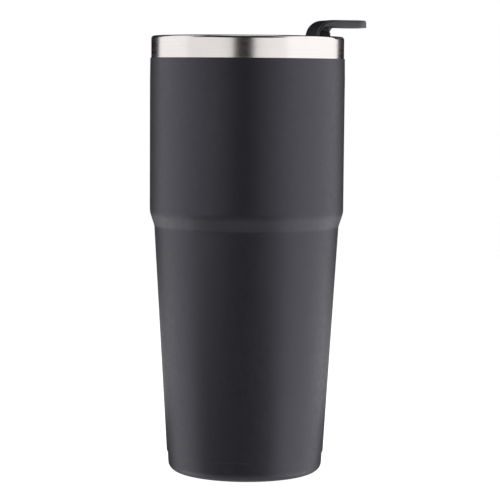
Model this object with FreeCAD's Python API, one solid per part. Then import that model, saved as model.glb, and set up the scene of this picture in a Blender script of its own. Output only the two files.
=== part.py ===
"""Insulated tumbler with a press-in lid and a flip lever.

Millimetres, +Z up. The origin is the centre of the face that the tumbler stands on.
The drinking spout and the lever's thumb tab point along +X, and the XZ plane is the plane of symmetry.
"""
import FreeCAD, Part
import math
import os

V = FreeCAD.Vector
UP = V(0, 0, 1)
ACROSS = V(0, 1, 0)

# ---- driving dimensions: vessel. A corner of a profile is (radius, height) --------------------
RIM_Z = 202.2               # top of the steel lip
BAND_R = 44.46              # bare steel band below the lip, outside
MOUTH_R = 41.55             # inside of the mouth, above the ledge that stops the lid
LIP_ROUND = 1.4
PAINT_Z = 192.1             # top edge of the painted shell
SHELL_TOP = (44.88, PAINT_Z)
SHELL_WIDE = (45.0, 182.7)
SHOULDER_HIGH = (44.9, 121.1)
SHOULDER_LOW = (42.78, 114.7)
SHELL_FOOT = (36.56, 9.4)   # bottom edge of the painted shell
SHELL_T = 0.4               # sheet of the painted shell
LINER_T = 0.5               # sheet of the liner and of the two bottoms
FOIL_T = 0.1
WALL_GAP = 3.6              # shell's outside to liner's inside, across the vacuum
CUP_FLOOR_Z = 13.5          # inside floor of the cup
LINER_JOINT_Z = 24.0        # butt weld between liner wall and liner bottom
LEDGE_Z = RIM_Z - 9.8
LEDGE_R = 41.0
LAP = 5.8                   # how far the band's skirt laps inside the shell
FIT = 0.02                  # radial gap of a pressed or glued lap
WELD_GAP = 0.07             # radial gap round the flange of the vacuum bottom

# ---- driving dimensions: base -----------------------------------------------------------------
CAP_LOW_Z = 0.3             # lowest ring of the base cap
CAP_EDGE_ROUND = 4.0
CAP_TOP_Z = 12.0
PAD_R = 30.4
PAD_T = 1.6
VACUUM_RIM_Z = 15.5         # top of the vacuum bottom's flange, welded inside the shell
VACUUM_KNEE_Z = 12.4
VACUUM_FLOOR = (29.0, 8.0)
DIMPLE_TOP_Z = 9.6
HOLE_R = 1.0
GETTER_X = -17.0
GETTER_R = 4.0
GETTER_T = 2.2

# ---- driving dimensions: lid ------------------------------------------------------------------
FLANGE_R = 41.3
FLANGE_LOW_Z = LEDGE_Z - 0.2
BEAD_TOP_Z = RIM_Z - 2.1
DECK_Z = RIM_Z - 6.0
DECK_T = 1.8
SKIRT_R = 38.9              # floor of the gasket groove
SKIRT_IN_R = 37.5
GROOVE_TOP_Z = RIM_Z - 13.5
SKIRT_LOW_Z = RIM_Z - 20.0
LID_BASE_T = 1.8
LID_BASE_R = 39.9
SEAT_DEPTH = 0.8            # seats of the two flat seals in the lid's lower moulding
GASKET_GAP = 0.08
FIN_R = LEDGE_R - 0.08

# ---- driving dimensions: spout, hinge and lever -----------------------------------------------
SPOUT_R = 35.6              # radius of the spout's curved centreline
SPOUT_ANGLE = 8.5           # half angle of that centreline, degrees
SPOUT_HALF = 2.7            # half the spout's thickness
SPOUT_END_ANGLE = 13.0      # angle of its flat ends above the deck, degrees
SLOT_HALF = 1.7             # half the drinking slot's width
SPOUT_TOP_Z = RIM_Z + 2.2
PIVOT = (15.5, RIM_Z - 2.7)
PIN_R = 1.1
PIN_CLEARANCE = 0.06
BARREL_R = 2.6
BARREL_HALF = 6.8
EAR_IN = 7.05
EAR_OUT = 10.2
ARM_LOW_Z = RIM_Z - 3.2
ARM_TOP_Z = RIM_Z - 0.6
LEVER_TOP_Z = RIM_Z + 7.9
TAB_T = 3.4
TAB_LOW_Z = LEVER_TOP_Z - TAB_T
LEVER_HALF = 9.6            # half the width of the cap and the tab
LEVER_BACK_X = 30.6
LEVER_WALL = 1.3
LEVER_TIP_X = 56.1
ELBOW_ROUND = 7.8
THUMB_PAD_T = 1.7
THUMB_PAD_X = 40.0          # where the soft pad starts
VENT_X = 24.0
VENT_R = 1.3
VENT_BOSS_Z = DECK_Z + 1.6
SEAL_GAP = 0.1              # between a closed stopper and the lip that it shuts
STOPPER_FLANGE_T = 0.5
STEM_R = 1.5
STEM_TOP_Z = LEVER_TOP_Z - 2.4
PLUG_STEM_R = 1.2
PLUG_STEM_TOP_Z = ARM_LOW_Z + 1.4


# ---- helpers ----------------------------------------------------------------------------------
def upright(a, b):
    """A point of a section in the XZ plane."""
    return V(a, 0, b)


def rounded_edges(corners, place, closed):
    """Edges of a path of straight runs joined by tangent arcs. A corner is (a, b) or (a, b, radius)."""
    points = [(c[0], c[1]) for c in corners]
    radii = [c[2] if len(c) > 2 else 0 for c in corners]
    count = len(corners)
    joints = []
    for i, (a, b) in enumerate(points):
        here = V(a, b, 0)
        inner = closed or 0 < i < count - 1
        if not inner or radii[i] <= 0:
            joints.append((here, None, here))
            continue
        to_last = (V(*points[i - 1], 0) - here).normalize()
        to_next = (V(*points[(i + 1) % count], 0) - here).normalize()
        half = to_last.getAngle(to_next) / 2
        run = radii[i] / math.tan(half)
        bisector = (to_last + to_next).normalize()
        middle = here + bisector * (radii[i] / math.sin(half) - radii[i])
        joints.append((here + to_last * run, middle, here + to_next * run))
    edges = []
    for i, (start, middle, end) in enumerate(joints):
        if middle is not None:
            corner_points = [place(p.x, p.y) for p in (start, middle, end)]
            edges.append(Part.Arc(*corner_points).toShape())
        if i == count - 1 and not closed:
            break
        after = joints[(i + 1) % count][0]
        if (after - end).Length > 1e-6:
            edges.append(Part.makeLine(place(end.x, end.y), place(after.x, after.y)))
    return edges


def section(corners, place=upright):
    """A flat face bounded by a closed path with rounded corners."""
    return Part.Face(Part.Wire(rounded_edges(corners, place, True)))


def turned(corners):
    """A solid of revolution about Z from a closed (r, z) section."""
    return section(corners).revolve(V(0, 0, 0), UP, 360)


def offset_corners(corners, distance):
    """The same open path moved sideways, to the left of its direction for a positive distance."""
    moved = []
    count = len(corners)
    points = [V(c[0], c[1], 0) for c in corners]
    for i in range(count):
        before = (points[i] - points[i - 1]).normalize() if i > 0 else None
        after = (points[i + 1] - points[i]).normalize() if i < count - 1 else None
        first = before or after
        last = after or before
        normals = [V(-d.y, d.x, 0) for d in (first, last)]
        mitre = (normals[0] + normals[1]).normalize()
        place = points[i] + mitre * (distance / mitre.dot(normals[0]))
        radius = corners[i][2] if len(corners[i]) > 2 else 0
        turn = first.x * last.y - first.y * last.x
        if radius > 0:
            radius = max(0.0, radius - distance if turn > 0 else radius + distance)
        moved.append((place.x, place.y, radius))
    return moved


def sheet_turned(corners, thickness):
    """A pressed sheet of revolution: an open (r, z) path, thickened to the left of its direction."""
    near = rounded_edges(corners, upright, False)
    far_corners = offset_corners(corners, thickness)
    if corners[-1][0] == 0:
        far_corners[-1] = (0.0, far_corners[-1][1], 0)
    far = rounded_edges(far_corners, upright, False)
    ends = [
        Part.makeLine(upright(*corners[k][:2]), upright(*far_corners[k][:2]))
        for k in (0, -1)
    ]
    wire = Part.Wire(Part.__sortEdges__(near + far + ends))
    return Part.Face(wire).revolve(V(0, 0, 0), UP, 360)


def turned_point(radius, angle, z=0.0):
    """A point at a radius and an angle in degrees from +X."""
    turn = math.radians(angle)
    return V(radius * math.cos(turn), radius * math.sin(turn), z)


def kidney(half_width, z, height):
    """A curved slot-shaped block on the spout's centreline."""
    outer, inner = SPOUT_R + half_width, SPOUT_R - half_width
    a = SPOUT_ANGLE
    cap_angle = 90 + a
    end_up = turned_point(SPOUT_R, a, z) + turned_point(half_width, cap_angle)
    end_down = turned_point(SPOUT_R, -a, z) + turned_point(half_width, -cap_angle)
    arcs = [
        (turned_point(outer, -a, z), turned_point(outer, 0, z), turned_point(outer, a, z)),
        (turned_point(outer, a, z), end_up, turned_point(inner, a, z)),
        (turned_point(inner, a, z), turned_point(inner, 0, z), turned_point(inner, -a, z)),
        (turned_point(inner, -a, z), end_down, turned_point(outer, -a, z)),
    ]
    wire = Part.Wire([Part.Arc(*arc).toShape() for arc in arcs])
    return Part.Face(wire).extrude(UP * height)


def spout_bar(z, height):
    """A curved bar with flat ends and rounded corners, round the spout's centreline."""
    outer, inner = SPOUT_R + SPOUT_HALF, SPOUT_R - SPOUT_HALF
    a = SPOUT_END_ANGLE
    corner_round = 0.9
    outer_arc = [turned_point(outer, angle, z) for angle in (-a, 0, a)]
    inner_arc = [turned_point(inner, angle, z) for angle in (a, 0, -a)]
    edges = [
        Part.Arc(*outer_arc).toShape(),
        Part.makeLine(outer_arc[-1], inner_arc[0]),
        Part.Arc(*inner_arc).toShape(),
        Part.makeLine(inner_arc[-1], outer_arc[0]),
    ]
    bar = Part.Face(Part.Wire(edges)).extrude(UP * height)
    corners = [e for e in bar.Edges if e.BoundBox.ZLength > height / 2]
    return bar.makeFillet(corner_round, corners)


def side_block(corners, half_width):
    """A block with a section in the XZ plane, centred on that plane."""
    face = section(corners, lambda a, b: V(a, -half_width, b))
    return face.extrude(ACROSS * (2 * half_width))


def rod(radius, half_length, x, z):
    """A round rod across the tumbler, centred on the XZ plane."""
    return Part.makeCylinder(radius, 2 * half_length, V(x, -half_length, z), ACROSS)


def post(radius, x, low_z, high_z):
    """An upright round post on the X axis."""
    return Part.makeCylinder(radius, high_z - low_z, V(x, 0, low_z), UP)


def shell_radius(z):
    """Outside radius of the painted shell's lower cone."""
    slope = (SHOULDER_LOW[0] - SHELL_FOOT[0]) / (SHOULDER_LOW[1] - SHELL_FOOT[1])
    return SHELL_FOOT[0] + slope * (z - SHELL_FOOT[1])


def edges_above(shape, z):
    """Edges that lie wholly above a height."""
    return [e for e in shape.Edges if e.BoundBox.ZMin > z]


def save(shape, node):
    """One STEP file for one named piece."""
    clean = shape.removeSplitter()
    assert clean.isValid(), node
    clean.exportStep(f"parts/{node}.step")


# ---- vessel -----------------------------------------------------------------------------------
def outer_shell():
    """Painted outer wall: near-cylinder, shoulder and tapering foot, with softened ends."""
    swell_round = 60.0
    edge_round = 0.18
    outside = [
        SHELL_TOP,
        (*SHELL_WIDE, swell_round),
        (*SHOULDER_HIGH, 9.0),
        (*SHOULDER_LOW, 5.0),
        SHELL_FOOT,
    ]
    inside = offset_corners(outside, -SHELL_T)
    outside[0] = (*SHELL_TOP, edge_round)
    outside[-1] = (*SHELL_FOOT, edge_round)
    return turned(outside + inside[::-1])


def liner_path():
    """Inside surface of the liner, from the band's skirt over the lip and down to the cup's floor."""
    foot_r = shell_radius(CUP_FLOOR_Z) - WALL_GAP
    ledge_drop = MOUTH_R - LEDGE_R
    return [
        (BAND_R, PAINT_Z - LAP),
        (BAND_R, RIM_Z, LIP_ROUND),
        (MOUTH_R, RIM_Z, LIP_ROUND),
        (MOUTH_R, LEDGE_Z, 0.4),
        (LEDGE_R, LEDGE_Z - ledge_drop, 0.6),
        (LEDGE_R, SHOULDER_HIGH[1] + 1.0, 8.0),
        (SHOULDER_LOW[0] - WALL_GAP, SHOULDER_LOW[1] + 1.0, 6.0),
        (foot_r, CUP_FLOOR_Z, 6.5),
        (0.0, CUP_FLOOR_Z),
    ]


def split_liner():
    """The liner's wall with its turned-over lip and band, and its pressed bottom, parted at the weld."""
    whole = sheet_turned(liner_path(), LINER_T)
    below = Part.makeCylinder(SHELL_WIDE[0], LINER_JOINT_Z, V(0, 0, 0), UP)
    return whole.cut(below), whole.common(below)


def radiation_foil():
    """Thin metal foil wrapped round the liner, on its vacuum side."""
    gap = LINER_T + 0.3
    wrap = [
        (LEDGE_R + gap, PAINT_Z - LAP - 8.0),
        (LEDGE_R + gap, SHOULDER_HIGH[1] + 1.0, 9.0),
        (SHOULDER_LOW[0] - WALL_GAP + gap, SHOULDER_LOW[1] + 1.0, 6.0),
        (shell_radius(LINER_JOINT_Z) - WALL_GAP + gap, LINER_JOINT_Z),
    ]
    return sheet_turned(wrap, FOIL_T)


def cap_radius(z):
    """Outside radius of the base cap, which plugs into the painted shell."""
    return shell_radius(z) - SHELL_T - FIT


def base_cap():
    """Painted cup that closes the foot, with a round edge and a shallow seat for the pad."""
    return sheet_turned(
        [
            (cap_radius(CAP_TOP_Z), CAP_TOP_Z),
            (cap_radius(CAP_LOW_Z), CAP_LOW_Z, CAP_EDGE_ROUND),
            (PAD_R + 0.5, CAP_LOW_Z, 0.5),
            (PAD_R + 0.3, PAD_T, 0.15),
            (0.0, PAD_T),
        ],
        -LINER_T,
    )


def base_pad():
    """Non-slip silicone disc. Curved grooves cross its underside, and bridges keep the face in one."""
    pad = turned([(0, 0), (PAD_R, 0, 0.35), (PAD_R, PAD_T), (0, PAD_T)])
    groove_width = 1.4
    groove_depth = 0.5
    bridge_width = 3.0
    for ring, radius in enumerate((11.0, 17.0, 23.0, 27.0)):
        ring_cut = Part.makeCylinder(radius + groove_width, groove_depth)
        ring_cut = ring_cut.cut(Part.makeCylinder(radius, groove_depth))
        corner = V(-PAD_R, -bridge_width / 2, 0)
        bridge = Part.makeBox(2 * PAD_R, bridge_width, groove_depth, corner)
        for k in range(3):
            turn = 60 * k + 30 * (ring % 2)
            ring_cut = ring_cut.cut(bridge.rotated(V(0, 0, 0), UP, turn))
        pad = pad.cut(ring_cut)
    return pad


def vacuum_base():
    """Hidden dish that seals the vacuum: flange welded in the shell, floor, evacuation dimple and hole."""
    inside = SHELL_T + WELD_GAP
    return sheet_turned(
        [
            (shell_radius(VACUUM_RIM_Z) - inside, VACUUM_RIM_Z),
            (shell_radius(VACUUM_KNEE_Z) - inside, VACUUM_KNEE_Z, 1.0),
            (*VACUUM_FLOOR, 2.0),
            (7.0, VACUUM_FLOOR[1], 0.8),
            (5.4, DIMPLE_TOP_Z, 0.8),
            (HOLE_R, DIMPLE_TOP_Z),
        ],
        -LINER_T,
    )


def seal_bead():
    """Glass bead that closed the evacuation hole: a lens in the dimple with a stub in the hole."""
    return turned(
        [
            (0, DIMPLE_TOP_Z - 1.1),
            (2.4, DIMPLE_TOP_Z - 0.9, 2.0),
            (3.6, DIMPLE_TOP_Z),
            (HOLE_R, DIMPLE_TOP_Z),
            (HOLE_R, DIMPLE_TOP_Z + LINER_T, 0.2),
            (0, DIMPLE_TOP_Z + LINER_T),
        ]
    )


def getter_pill():
    """Pressed getter tablet that keeps the vacuum hard."""
    floor_z = VACUUM_FLOOR[1] + LINER_T
    pill = Part.makeCylinder(GETTER_R, GETTER_T, V(GETTER_X, 0, floor_z), UP)
    return pill.makeFillet(0.4, [pill.Edges[0], pill.Edges[2]])


def getter_clip():
    """Sheet strap that is spot-welded down over the getter tablet, with three gas holes."""
    strap_t = 0.3
    strap_half = 2.5
    floor_z = VACUUM_FLOOR[1] + LINER_T
    top_z = floor_z + GETTER_T
    reach = GETTER_R + 0.25
    foot = reach + 3.5
    inside = [
        (-foot, floor_z),
        (-reach, floor_z),
        (-reach, top_z),
        (reach, top_z),
        (reach, floor_z),
        (foot, floor_z),
    ]
    outside = offset_corners(inside, strap_t)
    shape = [(GETTER_X + a, b) for a, b in inside]
    shape += [(GETTER_X + c[0], c[1]) for c in outside[::-1]]
    strip = side_block(shape, strap_half)
    for k in (-1, 0, 1):
        strip = strip.cut(post(0.6, GETTER_X + 2.2 * k, top_z - 0.1, top_z + 1))
    return strip


# ---- lid --------------------------------------------------------------------------------------
def lid_ears():
    """The two upright ears that carry the hinge pin."""
    x, z = PIVOT
    top_half = BARREL_R + 0.1
    foot_half = 4.6
    outline = [
        (x - foot_half, DECK_Z - 0.5),
        (x - top_half, z + BARREL_R, 2.5),
        (x + top_half, z + BARREL_R, 2.5),
        (x + foot_half, DECK_Z - 0.5),
    ]
    reach = 9
    between = [(x - reach, DECK_Z), (x - reach, z + reach), (x + reach, z + reach), (x + reach, DECK_Z)]
    return side_block(outline, EAR_OUT).cut(side_block(between, EAR_IN))


def lid_top():
    """Upper moulding: dished deck with a raised bead, gasket skirt, spout, vent boss and hinge ears."""
    deck_low = DECK_Z - DECK_T
    land_r = FLANGE_R - 0.9
    body = turned(
        [
            (0, DECK_Z),
            (36.9, DECK_Z, 1.6),
            (38.7, BEAD_TOP_Z, 0.9),
            (FLANGE_R, BEAD_TOP_Z, 1.1),
            (FLANGE_R, FLANGE_LOW_Z, 0.35),
            (land_r, FLANGE_LOW_Z),
            (land_r, GROOVE_TOP_Z, 0.2),
            (SKIRT_R, GROOVE_TOP_Z),
            (SKIRT_R, SKIRT_LOW_Z),
            (SKIRT_IN_R, SKIRT_LOW_Z),
            (SKIRT_IN_R, deck_low, 0.8),
            (0, deck_low),
        ]
    )
    channel_top = DECK_Z - DECK_T / 2
    channel = kidney(SPOUT_HALF, SKIRT_LOW_Z, channel_top - SKIRT_LOW_Z)
    spout = spout_bar(channel_top, SPOUT_TOP_Z - channel_top)
    spout = spout.makeFillet(0.45, edges_above(spout, SPOUT_TOP_Z - 0.01))
    vent_boss = post(3.0, VENT_X, DECK_Z - 0.2, VENT_BOSS_Z)
    vent_boss = vent_boss.makeFillet(0.4, edges_above(vent_boss, VENT_BOSS_Z - 0.01))
    vent_tube = post(VENT_R + 1.1, VENT_X, SKIRT_LOW_Z, DECK_Z)
    body = body.fuse([channel, spout, vent_boss, vent_tube, lid_ears()])
    body = body.cut(kidney(SLOT_HALF, SKIRT_LOW_Z - 1, SPOUT_TOP_Z - SKIRT_LOW_Z + 2))
    body = body.cut(post(VENT_R, VENT_X, SKIRT_LOW_Z - 1, DECK_Z + 3))
    return body.cut(rod(PIN_R + FIT, EAR_OUT + 1, *PIVOT))


def lid_base():
    """Lower moulding: closing disc with a locating ring that is parted at the spout, and two seal seats."""
    low = SKIRT_LOW_Z - LID_BASE_T
    ring_out = SKIRT_IN_R - 0.1
    ring_in = ring_out - 1.3
    ring_top = SKIRT_LOW_Z + 2.4
    seat_z = SKIRT_LOW_Z - SEAT_DEPTH
    disc = turned(
        [
            (0, low + 0.5),
            (31.0, low + 0.5, 0.4),
            (31.6, low, 0.4),
            (LID_BASE_R, low, 0.6),
            (LID_BASE_R, SKIRT_LOW_Z, 0.3),
            (ring_out, SKIRT_LOW_Z),
            (ring_out, ring_top, 0.3),
            (ring_in, ring_top, 0.3),
            (ring_in, SKIRT_LOW_Z, 0.3),
            (0, SKIRT_LOW_Z),
        ]
    )
    parting_half = 8.3
    parting = [
        (SPOUT_R - 4, SKIRT_LOW_Z),
        (SPOUT_R - 4, ring_top + 1),
        (SPOUT_R + 4, ring_top + 1),
        (SPOUT_R + 4, SKIRT_LOW_Z),
    ]
    openings = [
        side_block(parting, parting_half),
        kidney(SPOUT_HALF - 0.1, seat_z, SEAT_DEPTH),
        post(VENT_R + 1.0, VENT_X, seat_z, SKIRT_LOW_Z),
        kidney(SLOT_HALF, low - 1, LID_BASE_T + 2),
        post(VENT_R, VENT_X, low - 1, SKIRT_LOW_Z),
    ]
    return disc.cut(openings)


def channel_seal():
    """Flat silicone seal between the two mouldings, round the drinking channel."""
    low = SKIRT_LOW_Z - SEAT_DEPTH
    return kidney(SPOUT_HALF - 0.2, low, SEAT_DEPTH).cut(kidney(SLOT_HALF + 0.1, low, SEAT_DEPTH))


def vent_seal():
    """Flat silicone ring between the two mouldings, round the vent."""
    low = SKIRT_LOW_Z - SEAT_DEPTH
    return post(VENT_R + 0.9, VENT_X, low, SKIRT_LOW_Z).cut(post(VENT_R + 0.1, VENT_X, low, SKIRT_LOW_Z))


def lid_gasket():
    """Silicone ring with two upswept fins that wipe the liner's wall."""
    low = SKIRT_LOW_Z + GASKET_GAP
    high = GROOVE_TOP_Z - GASKET_GAP
    inner_r = SKIRT_R + GASKET_GAP
    body_r = inner_r + 0.8
    fin_rise = 0.9
    fin_t = 0.75
    profile = [(inner_r, low, 0.1), (body_r, low, 0.2)]
    for fin_z in (low + 0.7, low + 3.5):
        profile += [
            (body_r, fin_z, 0.2),
            (FIN_R, fin_z + fin_rise, 0.3),
            (FIN_R, fin_z + fin_rise + fin_t, 0.3),
            (body_r, fin_z + fin_t + 0.2, 0.2),
        ]
    profile += [(body_r, high, 0.2), (inner_r, high, 0.1)]
    return turned(profile)


def hinge_pin():
    """Steel pin through both ears and the lever's barrel, chamfered at its ends."""
    pin = rod(PIN_R, EAR_OUT - 0.1, *PIVOT)
    return pin.makeChamfer(0.2, [pin.Edges[0], pin.Edges[2]])


# ---- lever ------------------------------------------------------------------------------------
def lever_plan():
    """Plan of the lever: narrow arm, flare to full width, and a tab with round corners at its tip."""
    tip_half = LEVER_HALF - 0.7
    near_side = [
        (PIVOT[0], -BARREL_HALF),
        (25.6, -BARREL_HALF, 3.0),
        (28.6, -LEVER_HALF, 2.5),
        (42.0, -LEVER_HALF, 30.0),
        (LEVER_TIP_X, -tip_half, 5.5),
    ]
    far_side = [(c[0], -c[1], *c[2:]) for c in near_side[::-1]]
    return section(near_side + far_side, lambda a, b: V(a, b, ARM_LOW_Z - 5)).extrude(UP * 25)


def edge_middle(edge):
    """The point halfway along an edge."""
    return edge.valueAt((edge.FirstParameter + edge.LastParameter) / 2)


def is_outer_rim(edge):
    """Whether an edge bounds the strap's outer surface, up the back, over the elbow and round the tab."""
    middle = edge_middle(edge)
    on_tip = middle.x > LEVER_TIP_X - 0.5
    if edge.BoundBox.YLength > LEVER_HALF:
        return on_tip and middle.z > LEVER_TOP_Z - 1
    on_side = abs(middle.y) > LEVER_HALF - 3 or on_tip
    on_elbow = middle.x < LEVER_BACK_X + 3 and middle.z > TAB_LOW_Z + 0.3
    on_back = middle.x < LEVER_BACK_X + 0.05 and middle.z > ARM_TOP_Z + 0.45
    return on_side and (middle.z > LEVER_TOP_Z - 0.1 or on_elbow or on_back)


def is_catch_rim(edge):
    """Whether an edge bounds the underside of the tab's outer half."""
    middle = edge_middle(edge)
    on_tip = middle.x > LEVER_TIP_X - 0.5
    along = on_tip or (abs(middle.y) > LEVER_HALF - 3 and edge.BoundBox.YLength < LEVER_HALF)
    return along and middle.x > 48 and TAB_LOW_Z - 1 < middle.z < TAB_LOW_Z + 0.05


def lever_strap():
    """The bent strap: arm, back wall, rounded elbow and thumb tab with a slight finger catch below."""
    wall_x = LEVER_BACK_X + LEVER_WALL
    catch_z = TAB_LOW_Z - 0.1
    inner_round = 3.6
    rim_round = 1.1             # less than the thinnest part of the elbow
    profile = [
        (PIVOT[0], ARM_TOP_Z),
        (LEVER_BACK_X, ARM_TOP_Z, 0.4),
        (LEVER_BACK_X, LEVER_TOP_Z, ELBOW_ROUND),
        (LEVER_TIP_X, LEVER_TOP_Z),
        (LEVER_TIP_X, catch_z),
        (49.0, catch_z, 12.0),
        (46.0, TAB_LOW_Z, 12.0),
        (wall_x, TAB_LOW_Z, inner_round),
        (wall_x, ARM_LOW_Z, 0.8),
        (PIVOT[0], ARM_LOW_Z),
    ]
    strap = side_block(profile, LEVER_HALF + 2).common(lever_plan())
    strap = strap.makeFillet(rim_round, [e for e in strap.Edges if is_outer_rim(e)])
    return strap.makeFillet(0.5, [e for e in strap.Edges if is_catch_rim(e)])


def stopper_boss():
    """The boss under the tab that carries the stopper, with a rounded web to the tab's underside."""
    low = SPOUT_TOP_Z + SEAL_GAP + STOPPER_FLANGE_T
    high = TAB_LOW_Z + 0.5
    boss = spout_bar(low, high - low)
    web_round = 2.3
    web_half = 4.8
    arc_x = SPOUT_R + SPOUT_HALF + web_round
    arc_z = TAB_LOW_Z - web_round
    web = side_block([(SPOUT_R, low), (SPOUT_R, high), (arc_x, high), (arc_x, low)], web_half)
    return boss.fuse(web.cut(rod(web_round, LEVER_HALF, arc_x, arc_z)))


def lever_parts():
    """The rigid lever and the soft thumb pad on its tab."""
    x, z = PIVOT
    strap = lever_strap()
    pad_room = Part.makeBox(40, 40, 10, V(THUMB_PAD_X, -20, LEVER_TOP_Z - THUMB_PAD_T))
    pad = strap.common(pad_room)
    core = strap.cut(pad_room).fuse([stopper_boss(), rod(BARREL_R, BARREL_HALF, x, z)])
    holes = [
        rod(PIN_R + PIN_CLEARANCE, BARREL_HALF + 1, x, z),
        post(STEM_R, SPOUT_R, SPOUT_TOP_Z, STEM_TOP_Z),
        post(PLUG_STEM_R, VENT_X, ARM_LOW_Z - 1, PLUG_STEM_TOP_Z),
    ]
    core = core.cut(holes)
    groove_depth = 0.25
    groove_r = 0.7
    for k in range(5):
        groove_z = LEVER_TOP_Z + groove_r - groove_depth
        pad = pad.cut(rod(groove_r, 5.5, 44.6 + 2.2 * k, groove_z))
    return core, pad


def spout_stopper():
    """Silicone stopper: a flange that shuts the spout's lip, a nose in the slot and a stem in the boss."""
    seal_z = SPOUT_TOP_Z + SEAL_GAP
    nose_depth = 1.2
    flange = kidney(SPOUT_HALF - 0.05, seal_z, STOPPER_FLANGE_T)
    nose = kidney(SLOT_HALF - 0.3, seal_z - nose_depth, nose_depth + 0.2)
    tip_edges = [e for e in nose.Edges if e.BoundBox.ZMax < seal_z - nose_depth + 0.01]
    nose = nose.makeChamfer(0.6, tip_edges)
    stem = post(STEM_R, SPOUT_R, seal_z, STEM_TOP_Z)
    return flange.fuse([nose, stem])


def vent_plug():
    """Silicone button under the arm that shuts the vent when the lever is closed."""
    seal_z = VENT_BOSS_Z + 0.15
    plug = turned(
        [
            (0, seal_z - 1.1),
            (0.55, seal_z - 1.1, 0.2),
            (0.85, seal_z),
            (2.5, seal_z, 0.2),
            (2.5, ARM_LOW_Z, 0.2),
            (PLUG_STEM_R, ARM_LOW_Z),
            (PLUG_STEM_R, PLUG_STEM_TOP_Z),
            (0, PLUG_STEM_TOP_Z),
        ]
    )
    plug.translate(V(VENT_X, 0, 0))
    return plug


def main():
    """Build every piece and write it out."""
    os.makedirs("parts", exist_ok=True)
    liner_wall, liner_bottom = split_liner()
    rigid_lever, thumb_pad = lever_parts()
    pieces = {
        "outer_shell": outer_shell(),
        "inner_liner": liner_wall,
        "liner_base": liner_bottom,
        "radiation_foil": radiation_foil(),
        "vacuum_base": vacuum_base(),
        "seal_bead": seal_bead(),
        "getter_pill": getter_pill(),
        "getter_clip": getter_clip(),
        "base_cap": base_cap(),
        "base_pad": base_pad(),
        "lid_top": lid_top(),
        "lid_base": lid_base(),
        "lid_gasket": lid_gasket(),
        "channel_seal": channel_seal(),
        "vent_seal": vent_seal(),
        "hinge_pin": hinge_pin(),
        "lever_core": rigid_lever,
        "lever_pad": thumb_pad,
        "spout_stopper": spout_stopper(),
        "vent_plug": vent_plug(),
    }
    for node, shape in pieces.items():
        save(shape, node)
        print(node, "solids", len(shape.Solids), "volume", round(shape.Volume, 1))


main()
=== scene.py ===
"""Looks and studio for the insulated tumbler with a press-in lid and a flip lever.

Metres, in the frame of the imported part: +Z up, the spout and the lever's thumb tab along +X.
Every node keeps its CAD shape and gets a procedural material at its real scale.
"""

import math

import bpy
from mathutils import Matrix, Vector

MM = 0.001
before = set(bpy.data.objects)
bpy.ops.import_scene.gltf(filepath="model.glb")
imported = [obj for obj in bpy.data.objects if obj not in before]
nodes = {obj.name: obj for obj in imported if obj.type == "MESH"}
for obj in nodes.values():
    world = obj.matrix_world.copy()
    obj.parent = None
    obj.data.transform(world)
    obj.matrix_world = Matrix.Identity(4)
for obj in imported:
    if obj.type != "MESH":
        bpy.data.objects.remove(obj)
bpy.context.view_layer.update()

# ---- camera and studio sizes --------------------------------------------------------------------
CAMERA_AZIMUTH = math.radians(-16.0)
CAMERA_DISTANCE = 942.7 * MM
CAMERA_HEIGHT = 184.9 * MM
AIM_HEIGHT = 103.3 * MM
CAMERA_SIDE = 1.77 * MM
CAMERA_ROLL = math.radians(0.44)
LENS_MM = 146.4
SENSOR_MM = 36.0

RANGE_SOCKETS = ("From Min", "From Max", "To Min", "To Max")


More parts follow.
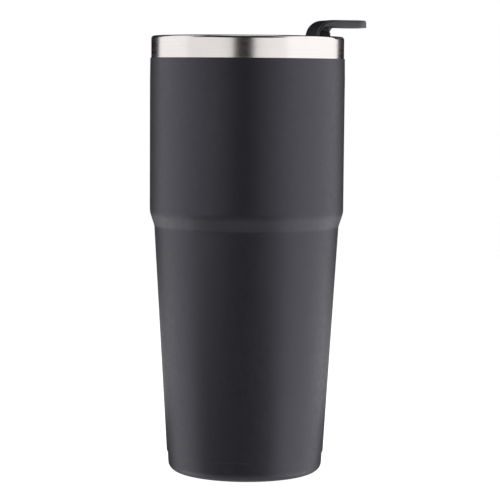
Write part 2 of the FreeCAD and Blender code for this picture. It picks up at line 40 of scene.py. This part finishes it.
# ---- node helpers -------------------------------------------------------------------------------
class Graph:
    """A short way to write one material's node tree."""

    def __init__(self, name):
        self.material = bpy.data.materials.new(name)
        self.material.use_nodes = True
        self.tree = self.material.node_tree
        self.tree.nodes.clear()
        self.output = self.tree.nodes.new("ShaderNodeOutputMaterial")
        self.shader = self.tree.nodes.new("ShaderNodeBsdfPrincipled")
        self.link(self.shader.outputs[0], self.output.inputs["Surface"])
        self.place = self.tree.nodes.new("ShaderNodeTexCoord").outputs["Object"]

    def link(self, start, end):
        self.tree.links.new(start, end)

    def feed(self, socket, value):
        """Sets a socket to a number or colour, or links another node's output to it."""
        if isinstance(value, bpy.types.NodeSocket):
            self.link(value, socket)
        else:
            socket.default_value = value

    def set(self, **values):
        """Sets the shader's own sockets, with _ for a space in their names."""
        for name, value in values.items():
            self.feed(self.shader.inputs[name.replace("_", " ")], value)

    def stretched(self, scale):
        """Object coordinates multiplied by a scale for each axis."""
        node = self.tree.nodes.new("ShaderNodeMapping")
        self.link(self.place, node.inputs["Vector"])
        node.inputs["Scale"].default_value = scale
        return node.outputs[0]

    def noise(self, scale, detail=2.0, roughness=0.5, where=None):
        node = self.tree.nodes.new("ShaderNodeTexNoise")
        self.link(where or self.place, node.inputs["Vector"])
        node.inputs["Scale"].default_value = scale
        node.inputs["Detail"].default_value = detail
        node.inputs["Roughness"].default_value = roughness
        return node.outputs["Fac"]

    def cells(self, scale):
        node = self.tree.nodes.new("ShaderNodeTexVoronoi")
        self.link(self.place, node.inputs["Vector"])
        node.inputs["Scale"].default_value = scale
        return node.outputs["Distance"]

    def spread(self, value, low, high, to_low, to_high):
        """Maps a range of values to another, held at its ends."""
        node = self.tree.nodes.new("ShaderNodeMapRange")
        self.link(value, node.inputs["Value"])
        for name, number in zip(RANGE_SOCKETS, (low, high, to_low, to_high)):
            self.feed(node.inputs[name], number)
        return node.outputs[0]

    def even(self, value, to_low, to_high):
        """Maps the range in which most of a noise texture lies to another range."""
        return self.spread(value, 0.3, 0.7, to_low, to_high)

    def math(self, operation, a, b):
        node = self.tree.nodes.new("ShaderNodeMath")
        node.operation = operation
        self.feed(node.inputs[0], a)
        self.feed(node.inputs[1], b)
        return node.outputs[0]

    def blend(self, share, a, b):
        """Colour a where share is 0 and colour b where it is 1."""
        node = self.tree.nodes.new("ShaderNodeMix")
        node.data_type = "RGBA"
        self.feed(node.inputs["Factor"], share)
        self.feed(node.inputs["A"], a)
        self.feed(node.inputs["B"], b)
        return node.outputs["Result"]

    def edge(self):
        """Near 1 on sharp convex edges, 0.5 on flat faces."""
        return self.tree.nodes.new("ShaderNodeNewGeometry").outputs["Pointiness"]

    def bump(self, layers):
        """Bumps laid over each other. A layer is (height, strength, distance in metres)."""
        normal = None
        for height, strength, distance in layers:
            node = self.tree.nodes.new("ShaderNodeBump")
            self.link(height, node.inputs["Height"])
            node.inputs["Strength"].default_value = strength
            node.inputs["Distance"].default_value = distance
            if normal:
                self.link(normal, node.inputs["Normal"])
            normal = node.outputs[0]
        self.link(normal, self.shader.inputs["Normal"])


def colour(r, g, b):
    return (r, g, b, 1.0)


# ---- materials ----------------------------------------------------------------------------------
def powder_coat():
    """Charcoal powder coat: fine orange peel and faint mottling. Only its sharpest edges are rubbed paler."""
    g = Graph("powder_coat")
    deep, pale = colour(0.0090, 0.0088, 0.0108), colour(0.0120, 0.0117, 0.0140)
    rubbed = colour(0.05, 0.05, 0.053)
    base = g.blend(g.even(g.noise(90, 3), 0, 1), deep, pale)
    worn = g.spread(g.edge(), 0.54, 0.62, 0, 0.35)
    g.set(
        Base_Color=g.blend(worn, base, rubbed),
        Roughness=g.even(g.noise(420, 2), 0.40, 0.48),
        Specular_IOR_Level=0.8,
        Specular_Tint=colour(0.90, 0.87, 1.0),
    )
    g.bump([(g.noise(2600, 2), 0.10, 0.00006), (g.noise(900, 1), 0.07, 0.00012)])
    return g.material


def turned_steel(name, dark, bright, rough_low, rough_high):
    """Stainless steel brushed in rings about the tumbler's axis: fine rings and faint smears of colour."""
    g = Graph(name)
    rings = g.noise(1, 3, 0.6, g.stretched((30, 30, 7000)))
    streaks = g.noise(1, 2, 0.5, g.stretched((14, 14, 3200)))
    smear = g.noise(55, 3)
    mixed = g.math("ADD", g.math("MULTIPLY", rings, 0.6), g.math("MULTIPLY", smear, 0.4))
    share = g.spread(mixed, 0.35, 0.65, 0, 1)
    g.set(
        Base_Color=g.blend(share, dark, bright),
        Metallic=1.0,
        Roughness=g.even(streaks, rough_low, rough_high),
        Anisotropic=0.5,
    )
    g.bump([(rings, 0.05, 0.00001)])
    return g.material


def band_steel():
    return turned_steel("band_steel", colour(0.745, 0.703, 0.667), colour(0.81, 0.765, 0.73), 0.16, 0.20)


def inside_steel():
    return turned_steel("inside_steel", colour(0.44, 0.435, 0.43), colour(0.60, 0.59, 0.58), 0.28, 0.42)


def pin_steel():
    """Ground steel pin: rings round its own axis, which lies along Y."""
    g = Graph("pin_steel")
    rings = g.noise(1, 3, 0.6, g.stretched((60, 6000, 60)))
    dark, bright = colour(0.5, 0.49, 0.48), colour(0.68, 0.67, 0.66)
    g.set(
        Base_Color=g.blend(g.even(rings, 0, 1), dark, bright),
        Metallic=1.0,
        Roughness=g.even(g.noise(700, 2), 0.18, 0.34),
    )
    g.bump([(rings, 0.1, 0.00002)])
    return g.material


def foil():
    """Thin bright foil: soft wrinkles and a copper tint."""
    g = Graph("foil")
    wrinkles = g.noise(260, 5, 0.6)
    g.set(
        Base_Color=g.blend(wrinkles, colour(0.62, 0.36, 0.24), colour(0.86, 0.58, 0.42)),
        Metallic=1.0,
        Roughness=g.even(wrinkles, 0.12, 0.3),
    )
    g.bump([(wrinkles, 0.5, 0.0003)])
    return g.material


def bead_glass():
    """Fused sealing glass: grey-green, with bubbles near the surface."""
    g = Graph("bead_glass")
    bubbles = g.cells(2600)
    g.set(
        Base_Color=g.blend(g.noise(700, 3), colour(0.16, 0.2, 0.18), colour(0.3, 0.35, 0.32)),
        Roughness=g.spread(bubbles, 0, 0.6, 0.22, 0.06),
        Coat_Weight=0.4,
    )
    g.bump([(bubbles, 0.2, 0.00005)])
    return g.material


def getter_metal():
    """Sintered powder: dark, rough and granular."""
    g = Graph("getter_metal")
    grains = g.cells(5200)
    g.set(
        Base_Color=g.blend(grains, colour(0.08, 0.078, 0.075), colour(0.2, 0.195, 0.19)),
        Metallic=0.6,
        Roughness=g.even(g.noise(1600, 2), 0.6, 0.85),
    )
    g.bump([(grains, 0.5, 0.0001)])
    return g.material


def silicone(name, deep, pale, rough_low, rough_high):
    """Silicone: soft sheen, fine matte skin, and a bloom of dust in its colour."""
    g = Graph(name)
    bloom = g.noise(160, 4, 0.6)
    g.set(
        Base_Color=g.blend(g.spread(bloom, 0.35, 0.7, 0, 1), deep, pale),
        Roughness=g.even(g.noise(900, 2), rough_low, rough_high),
        Sheen_Weight=0.12,
        Sheen_Roughness=0.5,
        Specular_IOR_Level=0.4,
    )
    g.bump([(g.noise(4200, 2), 0.12, 0.00004)])
    return g.material


def black_silicone():
    return silicone("black_silicone", colour(0.012, 0.012, 0.013), colour(0.026, 0.026, 0.028), 0.55, 0.68)


def grey_silicone():
    return silicone("grey_silicone", colour(0.16, 0.165, 0.17), colour(0.24, 0.245, 0.25), 0.45, 0.58)


def moulded_plastic(name, deep, pale, rough_low, rough_high, grain_strength, gloss):
    """Moulded plastic: spark-eroded grain, faint flow marks and sharp edges rubbed paler."""
    g = Graph(name)
    flow = g.noise(1, 3, 0.5, g.stretched((45, 120, 90)))
    base = g.blend(g.spread(flow, 0.35, 0.65, 0, 1), deep, pale)
    worn = g.spread(g.edge(), 0.53, 0.62, 0, 0.3)
    g.set(
        Base_Color=g.blend(worn, base, colour(0.07, 0.07, 0.073)),
        Roughness=g.even(g.noise(1100, 2), rough_low, rough_high),
        Specular_IOR_Level=gloss,
        Specular_Tint=colour(0.94, 0.92, 1.0),
    )
    grain = g.cells(4200)
    g.bump([(grain, grain_strength, 0.00006), (g.noise(1500, 2), 0.08, 0.0001)])
    return g.material


def lid_plastic():
    deep, pale = colour(0.013, 0.013, 0.014), colour(0.020, 0.020, 0.0215)
    return moulded_plastic("lid_plastic", deep, pale, 0.44, 0.56, 0.16, 0.8)


def lever_plastic():
    deep, pale = colour(0.012, 0.0118, 0.013), colour(0.020, 0.0197, 0.0215)
    return moulded_plastic("lever_plastic", deep, pale, 0.32, 0.44, 0.3, 1.0)


def soft_touch():
    """Soft-touch overmould: velvety skin with a fine pebble, shinier where a thumb rubs it."""
    g = Graph("soft_touch")
    rubbed = g.noise(120, 2)
    g.set(
        Base_Color=g.blend(rubbed, colour(0.018, 0.018, 0.019), colour(0.030, 0.030, 0.032)),
        Roughness=g.spread(rubbed, 0.35, 0.7, 0.55, 0.44),
        Specular_IOR_Level=0.9,
        Sheen_Weight=0.25,
        Sheen_Roughness=0.45,
    )
    g.bump([(g.cells(3000), 0.22, 0.00008)])
    return g.material


NODE_LOOKS = {
    powder_coat: ["outer_shell", "base_cap"],
    band_steel: ["inner_liner"],
    inside_steel: ["liner_base", "vacuum_base", "getter_clip"],
    foil: ["radiation_foil"],
    bead_glass: ["seal_bead"],
    getter_metal: ["getter_pill"],
    black_silicone: ["base_pad", "spout_stopper", "vent_plug"],
    grey_silicone: ["lid_gasket", "channel_seal", "vent_seal"],
    lid_plastic: ["lid_top", "lid_base"],
    pin_steel: ["hinge_pin"],
    lever_plastic: ["lever_core"],
    soft_touch: ["lever_pad"],
}


def dress_nodes():
    """Gives every CAD node its material."""
    for make, names in NODE_LOOKS.items():
        material = make()
        for name in names:
            piece = nodes[name]
            piece.data.materials.clear()
            piece.data.materials.append(material)


# ---- studio -------------------------------------------------------------------------------------
TO_CAMERA = Vector((math.sin(CAMERA_AZIMUTH), -math.cos(CAMERA_AZIMUTH), 0))
TO_RIGHT = Vector((math.cos(CAMERA_AZIMUTH), math.sin(CAMERA_AZIMUTH), 0))
WALL_SIDE = 0.5             # how far each light wall stands to the side of the tumbler
TALL_WALL = (-0.55, 0.95)   # heights of the walls beside the tumbler
LOW_WALL = (-0.02, 0.36)    # and of their ends towards the camera
LIGHT_COLOUR = (0.965, 0.97, 1.0)
FLOOR_SHADE = 0.85
FLOOR_GLOW = 0.96
FLOOR_DROP = 0.05 * MM      # keeps the floor out of the plane of the pad's face
FOOT_PANEL_SIDE = 0.21      # middles of the two panels that light the foot
FOOT_PANEL_BACK = 0.30
FOOT_PANEL_SIZE = (0.30, 0.42)
FOOT_PANEL_RADIANCE = 0.75
TOP_PANEL_HEIGHT = 1.3
TOP_PANEL_SIZE = (0.8, 0.8)
TOP_PANEL_RADIANCE = 0.8
GLOW_START = -0.3           # how steeply down a ray looks where the surround starts to glow
GLOW_FULL = -0.6            # and where the glow is full
GLOW_STRENGTH = 0.6


def link(thing):
    bpy.context.scene.collection.objects.link(thing)
    return thing


def floor_material():
    """Plain white, lit mostly from within like a light table."""
    g = Graph("floor_white")
    g.set(
        Base_Color=colour(FLOOR_SHADE, FLOOR_SHADE, FLOOR_SHADE),
        Roughness=0.9,
        Specular_IOR_Level=0.1,
        Emission_Color=colour(1, 1, 1),
        Emission_Strength=FLOOR_GLOW,
    )
    return g.material


def make_floor():
    """A plain pale sweep, curving up behind the tumbler. It is hidden from reflections and casts no light."""
    half_width = 3.0
    front, back, bend, height = -2.5, 2.2, 1.0, 3.2
    steps = 24
    profile = [(front, 0.0), (back - bend, 0.0)]
    for k in range(1, steps + 1):
        turn = math.pi / 2 * k / steps
        profile.append((back - bend + bend * math.sin(turn), bend - bend * math.cos(turn)))
    profile.append((back, height))
    points = []
    for y, z in profile:
        points += [(-half_width, y, z), (half_width, y, z)]
    faces = [(2 * k, 2 * k + 1, 2 * k + 3, 2 * k + 2) for k in range(len(profile) - 1)]
    mesh = bpy.data.meshes.new("floor")
    mesh.from_pydata(points, [], faces)
    for face in mesh.polygons:
        face.use_smooth = True
    mesh.materials.append(floor_material())
    floor = link(bpy.data.objects.new("floor", mesh))
    floor.rotation_euler[2] = CAMERA_AZIMUTH
    floor.location.z = -FLOOR_DROP
    floor.visible_glossy = False
    floor.visible_diffuse = False
    floor.visible_shadow = False


def area_light(name, place, aim, width, tall, radiance):
    """A rectangular light of an even radiance, turned to a point."""
    light = bpy.data.lights.new(name, "AREA")
    light.shape = "RECTANGLE"
    light.size, light.size_y = width, tall
    light.color = LIGHT_COLOUR
    light.energy = radiance * math.pi * width * tall
    box = link(bpy.data.objects.new(name, light))
    box.location = place
    box.rotation_euler = (aim - place).to_track_quat("-Z", "Y").to_euler()
    box.visible_camera = False


def along(bearing):
    """How far towards the camera a light wall is, where it is seen at a bearing from the tumbler."""
    return WALL_SIDE / math.tan(math.radians(bearing))


def light_wall(name, side, bearings, heights, radiance):
    """A long softbox beside the tumbler, parallel to the view, seen from it between two bearings."""
    front, back = (along(b) for b in bearings)
    low, high = heights
    middle = TO_CAMERA * ((front + back) / 2) + Vector((0, 0, (low + high) / 2))
    place = middle + TO_RIGHT * (side * WALL_SIDE)
    area_light(name, place, middle, front - back, high - low, radiance)


def make_lights():
    """Light walls with a dark gap behind the camera, and weaker panels low down and above."""
    light_wall("wall_left_front", -1, (16, 72), LOW_WALL, 0.99)
    light_wall("wall_left", -1, (72, 127), TALL_WALL, 1.15)
    light_wall("wall_right_front", 1, (7, 46), LOW_WALL, 1.1)
    light_wall("wall_right", 1, (46, 131), TALL_WALL, 1.3)
    for side in (-1, 1):
        place = TO_RIGHT * (side * FOOT_PANEL_SIDE) - TO_CAMERA * FOOT_PANEL_BACK + Vector((0, 0, MM))
        area_light("floor_glow", place, place + Vector((0, 0, 1)), *FOOT_PANEL_SIZE, FOOT_PANEL_RADIANCE)
    above = Vector((0, 0, TOP_PANEL_HEIGHT))
    area_light("box_top", above, Vector((0, 0, 0)), *TOP_PANEL_SIZE, TOP_PANEL_RADIANCE)


def make_surround():
    """A surround that the camera sees as white. To other rays it is dark, but for a glow from below."""
    world = bpy.data.worlds.new("studio")
    bpy.context.scene.world = world
    world.use_nodes = True
    tree = world.node_tree
    background = tree.nodes["Background"]
    background.inputs["Color"].default_value = colour(1, 1, 1)
    heading = tree.nodes.new("ShaderNodeSeparateXYZ")
    tree.links.new(tree.nodes.new("ShaderNodeTexCoord").outputs["Generated"], heading.inputs[0])
    from_below = tree.nodes.new("ShaderNodeMapRange")
    for socket, number in zip(RANGE_SOCKETS, (GLOW_START, GLOW_FULL, 0.0, GLOW_STRENGTH)):
        from_below.inputs[socket].default_value = number
    tree.links.new(heading.outputs["Z"], from_below.inputs["Value"])
    path = tree.nodes.new("ShaderNodeLightPath")
    amount = tree.nodes.new("ShaderNodeMath")
    amount.operation = "MAXIMUM"
    tree.links.new(path.outputs["Is Camera Ray"], amount.inputs[0])
    tree.links.new(from_below.outputs[0], amount.inputs[1])
    tree.links.new(amount.outputs[0], background.inputs["Strength"])


def make_camera():
    """The camera stands at the tumbler's left front and looks slightly down."""
    data = bpy.data.cameras.new("camera")
    data.sensor_width = SENSOR_MM
    data.lens = LENS_MM
    data.clip_start, data.clip_end = 0.01, 20
    camera = link(bpy.data.objects.new("camera", data))
    place = TO_CAMERA * CAMERA_DISTANCE + Vector((0, 0, CAMERA_HEIGHT)) + TO_RIGHT * CAMERA_SIDE
    target = Vector((0, 0, AIM_HEIGHT)) + TO_RIGHT * CAMERA_SIDE
    turn = (target - place).to_track_quat("-Z", "Y").to_matrix()
    camera.matrix_world = Matrix.Translation(place) @ (turn @ Matrix.Rotation(CAMERA_ROLL, 3, "Z")).to_4x4()
    bpy.context.scene.camera = camera


dress_nodes()
make_floor()
make_lights()
make_surround()
make_camera()
bpy.context.scene.view_settings.view_transform = "Standard"
